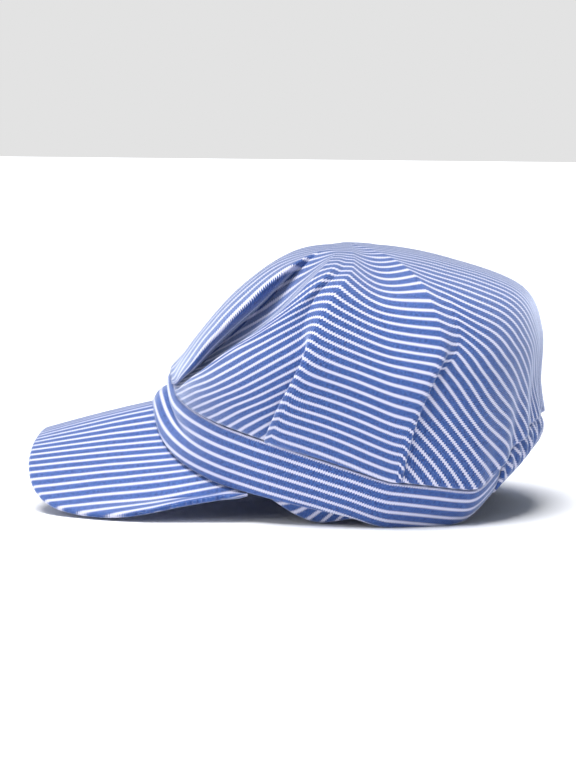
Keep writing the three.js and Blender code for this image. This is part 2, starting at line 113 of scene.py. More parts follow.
# How strongly pockets, panels and the other forms stand out down the crown.
FOLD_STRENGTH = {
    "way": [0.0, 0.2, 0.35, 0.5, 0.65, 0.8, 0.9, 1.0],
    "pocket": [0.0, 0.04, 0.55, 0.95, 1.0, 0.75, 0.4, 0.1],
    "panel": [0.0, 0.0, 0.05, 0.2, 0.75, 1.0, 0.9, 0.6],
    "sag": [0.0, 0.25, 0.85, 1.0, 0.85, 0.5, 0.25, 0.0],
    "scallop": [0.0, 0.0, 0.0, 0.0, 0.0, 0.15, 0.5, 1.0],
}
# Strips of cloth between the folds. Lifts are shares of the depth that the strip's kind names, and
# fades says with which folds its two edges die away toward the top.
STRIPS = [
    {"from": "front", "to": "pleat", "kind": "pocket", "lifts": (0.0, 0.03, 0.14), "columns": 22,
     "fades": ("pocket", "pocket"), "stripes": ("centre", "pleat")},
    {"from": "pleat", "to": "lip", "kind": "pocket", "lifts": (-0.80, -0.70, 0.2), "columns": 26,
     "fades": ("pocket", "pocket"), "stripes": ("pocket", "pocket_end")},
    {"from": "lip", "to": "panel_front", "kind": "pillow", "lifts": (0.7, 0.35, -0.6), "columns": 28,
     "fades": ("pocket", "panel"), "stripes": ("lip", "tuck")},
    {"from": "panel_front", "to": "panel_back", "kind": "panel", "lifts": (0.8, 0.2, 0.8), "columns": 40,
     "fades": ("panel", "panel"), "stripes": ("panel", "panel_end")},
    {"from": "panel_back", "to": "back", "kind": "pillow", "lifts": (-0.3, 0.3, 0.1), "columns": 50,
     "fades": ("panel", "panel"), "stripes": ("back", "centre")},
]
# Stripes counted from the middle of the cloth to each side of each fold, down the crown.
STRIPES = {
    "way": [0.2, 0.3, 0.35, 0.42, 0.5, 0.62, 0.67, 0.72, 0.85, 0.92, 1.0],
    "pleat": [5.2, 7.0, 7.4, 7.5, 7.5, 7.4, 7.3, 7.3, 7.2, 6.7, 5.5],
    "pocket": [5.4, 7.7, 8.4, 9.0, 9.5, 10.3, 10.7, 11.2, 13.2, 14.7, 16.8],
    "pocket_end": [6.1, 9.3, 10.6, 12.0, 13.3, 14.8, 15.3, 15.9, 17.2, 18.2, 19.0],
    "lip": [6.2, 9.6, 11.0, 12.9, 14.7, 16.5, 17.0, 17.4, 18.3, 19.0, 19.6],
    "tuck": [6.3, 9.8, 11.2, 13.4, 15.8, 20.0, 21.8, 23.4, 26.7, 28.4, 29.8],
    "panel": [6.3, 9.8, 11.3, 13.6, 16.0, 20.3, 22.1, 23.8, 28.5, 31.0, 33.3],
    "panel_end": [5.3, 8.2, 9.4, 11.1, 13.1, 17.4, 19.6, 21.7, 26.8, 29.6, 32.6],
    "back": [4.6, 7.2, 8.3, 10.0, 12.2, 17.0, 19.3, 21.6, 25.7, 27.7, 29.8],
}
# Folds between the strips: over is +1 where the cloth behind lies over the cloth in front of the
# fold, apex the way down the crown where the fold starts to close, tuck how far it is tucked under,
# under the turn by which the strip behind it starts beneath the strip in front, and roll the
# stripes that the cloth passes on its way under the edge and back.
FOLDS = {
    "pleat": {"over": -1, "apex": 0.30, "tuck": 0.0030, "under": 12, "roll": 0, "columns": 14},
    "lip": {"over": 0, "apex": 2.0, "tuck": 0.0, "under": 0, "roll": 0, "columns": 4},
    "panel_front": {"over": 1, "apex": 0.65, "tuck": 0.0030, "under": 0, "roll": 0.5, "columns": 12},
    "panel_back": {"over": -1, "apex": 0.63, "tuck": 0.0030, "under": 0, "roll": -0.3, "columns": 12},
}
FOLD_OPENS = 0.05
FOLD_SHUTS = 0.12
EDGE_ROLL = 0.3
EDGE_ROLL_SPREAD = 0.06
FRONT_DRAW = 0.28
BACK_EASE = 0.86
BACK_DRAW = 0.36
FLAT_TOP_END = 0.12
FOLDED_START = 0.26
HEM_SHARES = (0.97, 0.485, 0.0)
CROWN_ROWS = 92
TOP_WAY = 0.012


def smooth_curve(table, place, column, level_ends=False):
    """A smooth curve through one column of a table, as a function of the place along it."""
    x = np.array(table[place], float)
    y = np.array(table[column], float)
    slope = np.empty(len(x))
    slope[1:-1] = (y[2:] - y[:-2]) / (x[2:] - x[:-2])
    slope[0] = 0 if level_ends else (y[1] - y[0]) / (x[1] - x[0])
    slope[-1] = 0 if level_ends else (y[-1] - y[-2]) / (x[-1] - x[-2])

    def curve(at):
        at = np.clip(at, x[0], x[-1])
        i = np.clip(np.searchsorted(x, at) - 1, 0, len(x) - 2)
        span = x[i + 1] - x[i]
        t = (at - x[i]) / span
        rise = t * t * (3 - 2 * t)
        bend = t * (1 - t) * span
        return y[i] * (1 - rise) + y[i + 1] * rise + bend * ((1 - t) * slope[i] - t * slope[i + 1])

    return curve


rim_low = smooth_curve(RIM, "turn", "low", True)
rim_tall = smooth_curve(RIM, "turn", "tall", True)
rim_flare = smooth_curve(RIM, "turn", "flare", True)


def smooth_step(at, start, end):
    """Eases from 0 at the start to 1 at the end."""
    t = np.clip((at - start) / (end - start), 0, 1)
    return t * t * (3 - 2 * t)


def placed(turn, radius, height):
    """Points at a turn in degrees from the front, positive toward the wearer's left."""
    angle = np.radians(turn)
    return np.stack(np.broadcast_arrays(
        radius * np.sin(angle), rim_shift - radius * np.cos(angle), height), axis=-1)


def oval_radius(turn):
    """Radius of the rim's oval, which is longer in front of its middle than behind."""
    angle = np.radians(turn)
    half_length = np.where(np.cos(angle) > 0, RIM_FRONT, RIM_BACK)
    along = np.abs(np.cos(angle)) / half_length
    across = np.abs(np.sin(angle)) / RIM_HALF_WIDTH
    return (along ** OVAL_POWER + across ** OVAL_POWER) ** (-1 / OVAL_POWER)


def band_low(turn):
    """Height of the band's lower edge, which lies flat behind the temples and arches elsewhere."""
    return np.maximum(0, rim_low(np.abs(turn)) * RIM_ARCH)


def band_height(turn, share):
    """Height at a share of the way from the band's lower edge to its upper edge."""
    return band_low(turn) + share * rim_tall(np.abs(turn)) * BAND_HEIGHT


def band_radius(turn, share):
    """Middle of the band's wall, with the crease along its front."""
    side = np.abs(turn)
    height = np.exp(-(((share - CREASE_SHARE) / CREASE_SPREAD) ** 2))
    crease = CREASE_DEPTH * smooth_step(CREASE_END - side, 0, CREASE_FADE) * height
    bulge = BAND_BULGE * CREASE_DEPTH * np.sin(pi * np.clip(share, 0, 1))
    return oval_radius(turn) + share * rim_flare(side) * BAND_FLARE + bulge - crease


def knotted_curve(knots, at):
    """Centripetal curve through a list of knots, each an array of points, at places 0 to 1."""
    last = len(knots) - 1
    where = np.clip(at * last, 0, last - 1e-9)
    i = where.astype(int)
    t = (where - i)[..., None]
    padded = [2 * knots[0] - knots[1], *knots, 2 * knots[-1] - knots[-2]]
    stack = np.stack(padded)
    columns = np.arange(stack.shape[1])[:, None]
    p0, p1, p2, p3 = (stack[i[None, :] + k, columns] for k in range(4))
    step = [np.linalg.norm(b - a, axis=-1, keepdims=True) ** 0.5
            for a, b in ((p0, p1), (p1, p2), (p2, p3))]
    out = ((p1 - p0) / step[0] - (p2 - p0) / (step[0] + step[1]) + (p2 - p1) / step[1]) * step[1]
    into = ((p2 - p1) / step[1] - (p3 - p1) / (step[1] + step[2]) + (p3 - p2) / step[2]) * step[1]
    t = t[None]
    return (p1 * (2 * t ** 3 - 3 * t ** 2 + 1) + out * (t ** 3 - 2 * t ** 2 + t)
            + p2 * (3 * t ** 2 - 2 * t ** 3) + into * (t ** 3 - t ** 2))


base_turns = np.arange(-181.0, 181.5, 1.0)
base_ways = np.linspace(0, 1, 161)


def crown_base():
    """The plain crown under its folds, on a grid of turns and ways down from the top."""
    side = np.abs(base_turns)
    edge_radius = band_radius(base_turns, 1.0) + BAND_WALL / 2
    edge_height = band_height(base_turns, 1.0) + CROWN_OVERHANG
    share = {name: smooth_curve(CROWN, "turn", name, True)(side) for name in CROWN if name != "turn"}

    def knot(name):
        return np.stack([share[name + "Out"] * edge_radius, share[name + "Up"] * CROWN_HEIGHT], -1)

    top = knot("top")
    summit = np.stack([np.zeros_like(side), np.full_like(side, CROWN_HEIGHT)], -1)
    edge = np.stack([edge_radius + CROWN_OVERHANG / 2, edge_height], -1)
    knots = [top * (-1, 1), summit, top, knot("shoulder"), knot("side"), knot("low"), edge]
    first = 1 / (len(knots) - 1)
    line = knotted_curve(knots, np.linspace(first, 1, 240))
    lengths = np.concatenate([np.zeros((len(side), 1)),
                              np.cumsum(np.linalg.norm(np.diff(line, axis=1), axis=-1), axis=1)], axis=1)
    radius = np.stack([np.interp(base_ways * s[-1], s, p[:, 0]) for s, p in zip(lengths, line)])
    height = np.stack([np.interp(base_ways * s[-1], s, p[:, 1]) for s, p in zip(lengths, line)])
    points = placed(base_turns[:, None], radius, height)
    across = np.gradient(points, axis=0)
    down = np.gradient(points, axis=1)
    normals = np.cross(down, across)
    normals /= np.maximum(np.linalg.norm(normals, axis=-1, keepdims=True), 1e-12)
    normals[:, 0] = (0, 0, 1)
    return points, normals


base_points, base_normals = crown_base()


def from_base(grid, turn, way):
    """Reads the base grid between its points. Turns past the back wrap round."""
    turn = (turn + 180) % 360 - 180
    row = turn - base_turns[0]
    column = way * (len(base_ways) - 1)
    i = np.clip(row.astype(int), 0, len(base_turns) - 2)
    k = np.clip(column.astype(int), 0, len(base_ways) - 2)
    a = (row - i)[..., None]
    b = (column - k)[..., None]
    return ((1 - a) * (1 - b) * grid[i, k] + a * (1 - b) * grid[i + 1, k]
            + (1 - a) * b * grid[i, k + 1] + a * b * grid[i + 1, k + 1])


fold_line = {name: smooth_curve(FOLD_LINES, "way", name) for name in FOLD_LINES if name != "way"}
fold_line["front"] = lambda way: np.zeros_like(way)
fold_line["back"] = lambda way: np.full_like(way, 180.0)
stripes_to = {name: smooth_curve(STRIPES, "way", name) for name in STRIPES if name != "way"}
stripes_to["centre"] = lambda way: np.zeros_like(way)
strength = {name: smooth_curve(FOLD_STRENGTH, "way", name) for name in FOLD_STRENGTH if name != "way"}


def strip_lift(strip, share, turn, way):
    """Lift of the folded cloth off the plain crown, at a share of the way across one strip."""
    start, middle, end = strip["lifts"]
    fade_in = (1 - share) * strength[strip["fades"][0]](way)
    fade_out = share * strength[strip["fades"][1]](way)
    hump = (middle - (start + end) / 2) * np.sin(pi * share) * (fade_in + fade_out)
    shape = start * fade_in + end * fade_out + hump
    if strip["kind"] == "pocket":
        return shape * POCKET_DEPTH
    lift = shape * FOLD_HEIGHT
    if strip["kind"] == "panel":
        return lift - PANEL_SAG * strength["sag"](way) * np.sin(pi * share)
    puckers = np.cos(turn / (180 - CASING_START) * pi * PUCKERS)
    gathered = smooth_step(turn, SCALLOP_START, SCALLOP_FULL) * strength["scallop"](way)
    return lift + gathered * SCALLOP_DEPTH * puckers


def strip_stripes(strip, share, way):
    """Stripes from the middle of the cloth to a share of the way across one strip."""
    start, end = (stripes_to[name](way) for name in strip["stripes"])
    if strip["from"] == "front":
        # Toward the top the stripes lie closer together at the middle of the front.
        return end * share ** (1 - FRONT_DRAW * (1 - smooth_step(way, 0.2, 0.6)))
    if strip["kind"] == "panel":
        # The panel rolls over at its front edge, which the stripes cross steeply.
        rolled = EDGE_ROLL * strength["panel"](way) * np.exp(-share / EDGE_ROLL_SPREAD)
        return start * (1 - share) + end * share + rolled
    if strip["to"] != "back":
        return start * (1 - share) + end * share
    # The elastic draws the stripes together toward the middle of the back.
    return start * (1 - share) ** (BACK_EASE - BACK_DRAW * smooth_step(way, 0.5, 1))


# Path of the cloth through a closed fold: along the crown, in tucks, and down, in fold heights.
FOLD_PATH = {
    "along": [0.0, 0.16, 0.34, 0.52, 0.7, 0.86, 1.0],
    "out": [-0.3, 0.32, 0.26, -0.55, -0.95, -0.3, 0.6],
    "down": [0.0, 0.08, 0.42, 0.66, 0.86, 0.98, 1.0],
}
path_out = smooth_curve(FOLD_PATH, "along", "out")
path_down = smooth_curve(FOLD_PATH, "along", "down")


def fold_margin(name, way):
    """Half of the turn within which a fold's edge drops to its foot."""
    if name in ("front", "back"):
        return 0
    return fold_line["panel_step" if name.startswith("panel") else "step"](way) / 2


def hidden_turn(name, way):
    """Turn by which the strip behind a fold starts beneath the strip in front of it."""
    return FOLDS[name]["under"] * strength["pocket"](way) if name in FOLDS else 0


def counted_stripes(points, strip_columns, way):
    """Stripes from the middle of the cloth to each point, spread evenly over the cloth's width."""
    width = np.linalg.norm(np.diff(points, axis=0), axis=-1)
    place = np.concatenate([np.zeros((1, len(way))), np.cumsum(width, axis=0)])
    counts = np.zeros(place.shape)
    for strip, columns in zip(STRIPS, strip_columns):
        share = (place[columns] - place[columns][0]) / (place[columns][-1] - place[columns][0])
        counts[columns] = strip_stripes(strip, share, way)
    for strip, before, after in zip(STRIPS, strip_columns, strip_columns[1:]):
        first = before.stop - 1
        last = after.start
        share = (place[first:last + 1] - place[first]) / (place[last] - place[first])
        under_edge = FOLDS[strip["to"]]["roll"] * strength["panel"](way) * np.sin(pi * share)
        counts[first:last + 1] = counts[first] * (1 - share) + counts[last] * share + under_edge
    return counts


def half_crown(side):
    """Columns of points from the front to the back of one side, with the cloth's own width."""
    way = np.linspace(TOP_WAY, 1, CROWN_ROWS)
    turns = []
    lifts = []
    strip_columns = []
    for number, strip in enumerate(STRIPS):
        start = fold_line[strip["from"]](way) + fold_margin(strip["from"], way)
        start = start - hidden_turn(strip["from"], way)
        end = fold_line[strip["to"]](way) - fold_margin(strip["to"], way)
        strip_columns.append(slice(len(turns), len(turns) + strip["columns"] + 1))
        for share in np.linspace(0, 1, strip["columns"] + 1):
            turn = start + (end - start) * share
            turns.append(turn)
            lifts.append(strip_lift(strip, share, turn, way))
        if strip["to"] in FOLDS:
            fold = FOLDS[strip["to"]]
            following = STRIPS[number + 1]
            line = fold_line[strip["to"]](way)
            margin = fold_margin(strip["to"], way)
            before = strip_lift(strip, 1.0, line, way)
            after = strip_lift(following, 0.0, line, way)
            closed = smooth_step(way, fold["apex"] - FOLD_OPENS, fold["apex"] + FOLD_SHUTS)
            edge = from_base(base_points, line * side, way)[:, :2]
            radius = np.linalg.norm(edge - (0, rim_shift), axis=-1)
            tuck_turn = np.degrees(fold["tuck"] / radius)
            for along in np.linspace(0, 1, fold["columns"] + 2)[1:-1]:
                here = along if fold["over"] <= 0 else 1 - along
                out = path_out(here) if fold["over"] <= 0 else -path_out(here)
                down = path_down(here) if fold["over"] <= 0 else 1 - path_down(here)
                open_turn = line + margin * (2 * along - 1)
                open_down = along * along * (3 - 2 * along)
                turn = open_turn * (1 - closed) + (line + out * tuck_turn) * closed
                turn = turn - hidden_turn(strip["to"], way) * open_down
                drop = open_down * (1 - closed) + down * closed
                turns.append(turn)
                lifts.append(before + (after - before) * drop)
    turn = np.array(turns) * side
    ways = np.broadcast_to(way, turn.shape)
    points = from_base(base_points, turn, ways)
    points = points + from_base(base_normals, turn, ways) * np.array(lifts)[..., None]
    return points, turn, counted_stripes(points, strip_columns, way)


def hem_rows(turn):
    """The crown's lower edge turns in over the band's upper edge and hangs down behind it."""
    tall = band_height(turn, 1.0) - band_low(turn)
    hem = 1 - np.minimum(HEM_HEIGHT / tall, HEM_MOST)
    behind = BAND_WALL / 2 + HEM_GAP
    rows = [placed(turn, band_radius(turn, 1.0), band_height(turn, 1.0) + HEM_ROLL),
            placed(turn, band_radius(turn, 1.0) - behind, band_height(turn, 1.0) + HEM_FALL)]
    for share in HEM_SHARES:
        at = hem + (1 - hem) * share
        rows.append(placed(turn, band_radius(turn, at) - behind, band_height(turn, at)))
    return np.stack(rows, axis=1)


def flat_crown(points, counts, side):
    """Where each point lies on the flat round of cloth: across its stripes, and along them.

    The top lies as it was cut. Below it the folds take in cloth, as the stripes' table says.
    """
    way = np.linspace(TOP_WAY, 1, CROWN_ROWS)
    summit = np.array([0, rim_shift, CROWN_HEIGHT])
    first = np.linalg.norm(points[:, :1] - summit, axis=-1)
    down = np.linalg.norm(np.diff(points, axis=1), axis=-1)
    reach = np.concatenate([first, first + np.cumsum(down, axis=1)], axis=1)
    width = np.linalg.norm(np.diff(points, axis=0), axis=-1)
    wedge = width / ((reach[1:] + reach[:-1]) / 2)
    angle = np.concatenate([np.zeros((1, CROWN_ROWS)), np.cumsum(wedge, axis=0)])
    angle *= pi / angle[-1]
    counted = counts * STRIPE_PITCH
    folded = smooth_step(way, FLAT_TOP_END, FOLDED_START)
    across = reach * np.sin(angle) * (1 - folded) + counted * folded
    return np.stack([side * across, -reach * np.cos(angle)], axis=-1)


def sheet_object(name, points, cloth, ring, pole=None):
    """A mesh of quads over a grid of points [columns, rows], with its place on the flat cloth."""
    columns, rows = points.shape[:2]
    vertices = points.reshape(-1, 3).tolist()
    faces = []
    last = columns if ring else columns - 1
    for i in range(last):
        j = (i + 1) % columns
        for k in range(rows - 1):
            faces.append((i * rows + k, i * rows + k + 1, j * rows + k + 1, j * rows + k))
    flat = cloth.reshape(-1, 2)
    if pole is not None:
        vertices.append(pole[0])
        flat = np.concatenate([flat, [pole[1]]])
        for i in range(last):
            faces.append((len(vertices) - 1, i * rows, (i + 1) % columns * rows))
    mesh = bpy.data.meshes.new(name)
    mesh.from_pydata(vertices, [], faces)
    layer = mesh.uv_layers.new(name="cloth")
    corner_vertices = np.empty(len(mesh.loops), np.int32)
    mesh.loops.foreach_get("vertex_index", corner_vertices)
    layer.data.foreach_set("uv", flat[corner_vertices].astype(np.float32).ravel())
    mesh.shade_smooth()
    mesh.update()
    piece = bpy.data.objects.new(name, mesh)
    bpy.context.scene.collection.objects.link(piece)
    return piece


def thicken(piece, thickness):
    """Gives a sheet its wall, half to each side."""
    wall = piece.modifiers.new("wall", "SOLIDIFY")
    wall.thickness = thickness
    wall.offset = 0.0
    wall.use_quality_normals = True
    return piece


TWILL_ALONG = 800
TWILL_ACROSS = 420
NOTCH = 0.0009
WANDER = 0.0009
EDGE_SHARPNESS = 5200
DEEP_BLUE = (0.012, 0.030, 0.14, 1.0)
DEEP_WHITE = (0.36, 0.40, 0.66, 1.0)


def striped_twill():
    """Node group: narrow white stripes on heathered blue twill, with the weave as a height."""
    group = bpy.data.node_groups.new("striped twill", "ShaderNodeTree")
    sockets = group.interface
    sockets.new_socket("Shift", in_out="INPUT", socket_type="NodeSocketFloat")
    sockets.new_socket("Pitch", in_out="INPUT", socket_type="NodeSocketFloat")
    sockets.new_socket("Width", in_out="INPUT", socket_type="NodeSocketFloat")
    sockets.new_socket("Blue", in_out="INPUT", socket_type="NodeSocketColor")
    sockets.new_socket("White", in_out="INPUT", socket_type="NodeSocketColor")
    sockets.new_socket("Color", in_out="OUTPUT", socket_type="NodeSocketColor")
    sockets.new_socket("Height", in_out="OUTPUT", socket_type="NodeSocketFloat")
    sockets.new_socket("Roughness", in_out="OUTPUT", socket_type="NodeSocketFloat")
    nodes = group.nodes
    links = group.links
    entry = nodes.new("NodeGroupInput")
    result = nodes.new("NodeGroupOutput")

    def math(operation, a, b=None, c=None, clamp=False):
        node = nodes.new("ShaderNodeMath")
        node.operation = operation
        node.use_clamp = clamp
        for socket, value in zip(node.inputs, (a, b, c)):
            if isinstance(value, (int, float)):
                socket.default_value = value
            elif value is not None:
                links.new(value, socket)
        return node.outputs[0]

    def noise(scale, detail, stretch):
        mapping = nodes.new("ShaderNodeMapping")
        mapping.inputs["Scale"].default_value = stretch
        links.new(uv.outputs["UV"], mapping.inputs["Vector"])
        texture = nodes.new("ShaderNodeTexNoise")
        texture.inputs["Scale"].default_value = scale
        texture.inputs["Detail"].default_value = detail
        links.new(mapping.outputs["Vector"], texture.inputs["Vector"])
        return texture.outputs["Fac"]

    uv = nodes.new("ShaderNodeUVMap")
    uv.uv_map = "cloth"
    split = nodes.new("ShaderNodeSeparateXYZ")
    links.new(uv.outputs["UV"], split.inputs[0])
    across = split.outputs["X"]
    along = split.outputs["Y"]

    # Twill lines climb across the stripes, one every 1.25 mm of stripe.
    climb = math("ADD", math("MULTIPLY", along, TWILL_ALONG), math("MULTIPLY", across, TWILL_ACROSS))
    drift = math("MULTIPLY", noise(160, 2, (1, 1, 1)), 0.9)
    twill = math("FRACT", math("ADD", climb, drift))
    rope = math("SUBTRACT", 1, math("ABSOLUTE", math("SUBTRACT", math("MULTIPLY", twill, 2), 1)))
    threads = noise(2600, 2, (1, 0.45, 1))
    slub = noise(420, 3, (1, 0.16, 1))

    # The stripes: distance from the nearest stripe's middle, its edge notched by the twill.
    wander = math("MULTIPLY", math("SUBTRACT", noise(30, 2, (1, 1, 1)), 0.5), WANDER)
    place = math("DIVIDE", math("ADD", math("ADD", across, entry.outputs["Shift"]), wander),
                 entry.outputs["Pitch"])
    near = math("ABSOLUTE", math("SUBTRACT", math("FRACT", place), 0.5))
    distance = math("MULTIPLY", near, entry.outputs["Pitch"])
    half = math("MULTIPLY", entry.outputs["Width"], 0.5)
    notch = math("MULTIPLY", math("SUBTRACT", rope, 0.5), NOTCH)
    edge = math("SUBTRACT", math("ADD", half, notch), distance)
    stripe = math("MULTIPLY_ADD", edge, EDGE_SHARPNESS, 0.5, clamp=True)

    def mix(factor, a, b):
        node = nodes.new("ShaderNodeMix")
        node.data_type = "RGBA"
        for socket, value in ((node.inputs[0], factor), (node.inputs[6], a), (node.inputs[7], b)):
            if isinstance(value, (int, float, tuple)):
                socket.default_value = value
            else:
                links.new(value, socket)
        return node.outputs[2]

    # Blue yarn, lighter on the twill's ropes and threads, heathered, with a few white flecks.
    shade = math("MULTIPLY_ADD", rope, 0.34, math("MULTIPLY_ADD", threads, 0.5, 0.27))
    shade = math("MULTIPLY_ADD", slub, 0.28, math("SUBTRACT", shade, 0.12))
    heather = math("SUBTRACT", noise(1000, 4, (1, 0.7, 1)), 0.5)
    shade = math("MULTIPLY_ADD", heather, 3.0, shade)
    blue = mix(shade, DEEP_BLUE, entry.outputs["Blue"])
    fleck = math("GREATER_THAN", noise(3000, 1, (1, 0.6, 1)), 0.66)
    blue = mix(math("MULTIPLY", fleck, 0.22), blue, entry.outputs["White"])
    white_shade = math("MULTIPLY_ADD", rope, 0.28, math("MULTIPLY_ADD", threads, 0.25, 0.58), clamp=True)
    white = mix(white_shade, DEEP_WHITE, entry.outputs["White"])
    links.new(mix(stripe, blue, white), result.inputs["Color"])
    height = math("ADD", math("MULTIPLY", rope, 0.00018), math("MULTIPLY", threads, 0.00007))
    height = math("ADD", height, math("MULTIPLY", stripe, 0.00006))
    links.new(height, result.inputs["Height"])
    links.new(math("MULTIPLY_ADD", threads, 0.12, 0.80), result.inputs["Roughness"])
    return group


twill_group = striped_twill()
BLUE = (0.046, 0.110, 0.345, 1.0)
WHITE = (0.66, 0.65, 0.78, 1.0)


def twill_material(name, shift=0.0, pitch=STRIPE_PITCH, width=STRIPE_WIDTH, blue=BLUE, white=WHITE):
    """A matt cloth with a soft sheen, from the twill group."""
    material = bpy.data.materials.new(name)
    material.use_nodes = True
    nodes = material.node_tree.nodes
    links = material.node_tree.links
    shader = nodes["Principled BSDF"]
    shader.inputs["Sheen Weight"].default_value = 1.0
    shader.inputs["Sheen Roughness"].default_value = 0.45
    shader.inputs["Sheen Tint"].default_value = (0.75, 0.82, 1.0, 1.0)
    shader.inputs["Specular IOR Level"].default_value = 0.2
    twill = nodes.new("ShaderNodeGroup")
    twill.node_tree = twill_group
    twill.inputs["Shift"].default_value = shift
    twill.inputs["Pitch"].default_value = pitch
    twill.inputs["Width"].default_value = width
    twill.inputs["Blue"].default_value = blue
    twill.inputs["White"].default_value = white
    bump = nodes.new("ShaderNodeBump")
    bump.inputs["Strength"].default_value = 0.6
    bump.inputs["Distance"].default_value = 1.0
    links.new(twill.outputs["Height"], bump.inputs["Height"])
    links.new(bump.outputs["Normal"], shader.inputs["Normal"])
    links.new(twill.outputs["Color"], shader.inputs["Base Color"])
    links.new(twill.outputs["Roughness"], shader.inputs["Roughness"])
    return material


def build_crown():
    """Both halves of the bag, joined at the top, the front and the back, with the turned hem."""
    halves = []
    for side in (1, -1):
        points, turn, counts = half_crown(side)
        hem = hem_rows(turn[:, -1])
        cloth = flat_crown(points, counts, side)
        last = cloth[:, -1] - cloth[:, -2]
        last /= np.maximum(np.linalg.norm(last, axis=-1, keepdims=True), 1e-9)
        steps = np.linalg.norm(np.diff(np.concatenate([points[:, -1:], hem], axis=1), axis=1), axis=-1)
        hem_cloth = cloth[:, -1:] + last[:, None] * np.cumsum(steps, axis=1)[..., None]
        halves.append((np.concatenate([points, hem], axis=1), np.concatenate([cloth, hem_cloth], axis=1)))
    points = np.concatenate([halves[0][0], halves[1][0][1:-1][::-1]])
    cloth = np.concatenate([halves[0][1], halves[1][1][1:-1][::-1]])
    pole = ((0, rim_shift, CROWN_HEIGHT), (0, 0))
    return sheet_object("crown_cloth", points, cloth, True, pole)


crown = thicken(build_crown(), CROWN_CLOTH)
crown.data.materials.append(twill_material("crown twill"))
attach(crown, "root")
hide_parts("crown")

# Headband: a folded strip of the same twill with its stripes along its length, lined, stitched
# over the crown's edge. The cap's weight has pressed a crease along its front.
BAND_COLUMNS = 360
BAND_ROWS = 26
BAND_EDGE_TILT = 0.0006

turn, share = np.meshgrid(np.linspace(-CASING_START, CASING_START, BAND_COLUMNS + 1),
                          np.linspace(1, 0, BAND_ROWS), indexing="ij")
points = placed(turn, band_radius(turn, share), band_height(turn, share))
down = np.linalg.norm(np.diff(points, axis=1), axis=-1)
across = np.concatenate([np.zeros((BAND_COLUMNS + 1, 1)), np.cumsum(down, axis=1)], axis=1)
along = np.linalg.norm(np.diff(points[:, BAND_ROWS // 2], axis=0), axis=-1)
along = np.concatenate([[0], np.cumsum(along)])[:, None]
cloth = np.stack(np.broadcast_arrays(across, along), axis=-1)
# The wall leans, so its middle stands a little higher than its lower outer edge.
points[..., 2] += BAND_EDGE_TILT * np.linspace(0, 1, BAND_ROWS)
headband = thicken(sheet_object("headband_cloth", points, cloth, False), BAND_WALL)
headband.data.materials.append(twill_material("band twill", shift=STRIPE_PITCH / 2))
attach(headband, "root")
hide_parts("headband")

# Back casing: the crown's own cloth goes on below the band's end as a casing, gathered on a
# length of elastic and stitched through.
CASING_WALL = 0.0026
CASING_STAND = 0.0012
CASING_FULLNESS = 1.2
CASING_LEAN = 0.9
CASING_GAP = 0.3
CASING_COLUMNS = 240
CASING_ROWS = 22
GATHERS = 14
GATHER_HEIGHT = 0.0012


def wrapped(turn):
    """The same turn, counted from the front to either side."""
    return np.where(turn > 180, turn - 360, turn)


turns = np.linspace(CASING_START + CASING_GAP, 360 - CASING_START - CASING_GAP, CASING_COLUMNS + 1)
turn, share = np.meshgrid(turns, np.linspace(1, 0, CASING_ROWS), indexing="ij")
span = 360 - 2 * CASING_START
wave = (1 + np.cos((turn - CASING_START) / span * GATHERS * 2 * pi)) / 2
radius = band_radius(wrapped(turn), share)
radius = radius + (CASING_STAND + GATHER_HEIGHT * wave) * np.sin(pi * share)
points = placed(wrapped(turn), radius, band_height(wrapped(turn), share))
along = (turn - 180) * radians(1) * RIM_BACK
down = (1 - share) * BAND_HEIGHT / 2
lean = np.abs(along) / np.abs(along).max()
cloth = np.stack([CASING_FULLNESS * np.abs(along) + CASING_LEAN * lean * down, down], axis=-1)
casing = thicken(sheet_object("back_casing", points, cloth, False), CASING_WALL)
casing.data.materials.append(twill_material("casing twill"))
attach(casing, "root")
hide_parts("back_elastic")

# Sweatband: a facing cut on the bias, stitched inside the band. At the left temple it has come
# loose and sags below the band in a soft loop.
SWEATBAND_WALL = 0.0012
SWEATBAND_INSET = 0.0015
SWEATBAND_SAG = 0.0088
SAG_TURN = 84
SAG_SPREAD = 23
SWEATBAND_DEPTH = 0.0053
SWEATBAND_TOP = 0.7
SAG_POWER = 1.5
FACING_FULLNESS = 1.15
BIAS_ALONG = 0.77
BIAS_ACROSS = 0.64
SWEATBAND_COLUMNS = 360
SWEATBAND_ROWS = 20

turns = np.linspace(-180, 180, SWEATBAND_COLUMNS + 1)[:-1]
turn, part = np.meshgrid(turns, np.linspace(0, 1, SWEATBAND_ROWS), indexing="ij")
tall = band_height(turn, 1.0) - band_low(turn)
near = np.clip(np.abs(turn - SAG_TURN) / SAG_SPREAD, 0, 1)
sag = SWEATBAND_SAG * np.cos(pi / 2 * near) ** SAG_POWER
share = SWEATBAND_TOP + ((SWEATBAND_INSET - sag) / tall - SWEATBAND_TOP) * part
points = placed(turn, band_radius(turn, share) - SWEATBAND_DEPTH, band_height(turn, share))
along = np.radians(turn) * RIM_HALF_WIDTH * FACING_FULLNESS
down = part * tall
cloth = np.stack([along * BIAS_ACROSS + down * BIAS_ALONG,
                  along * BIAS_ALONG - down * BIAS_ACROSS], axis=-1)
facing = thicken(sheet_object("sweatband_facing", points, cloth, True), SWEATBAND_WALL)
facing.data.materials.append(twill_material("facing twill"))
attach(facing, "root")
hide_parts("sweatband")

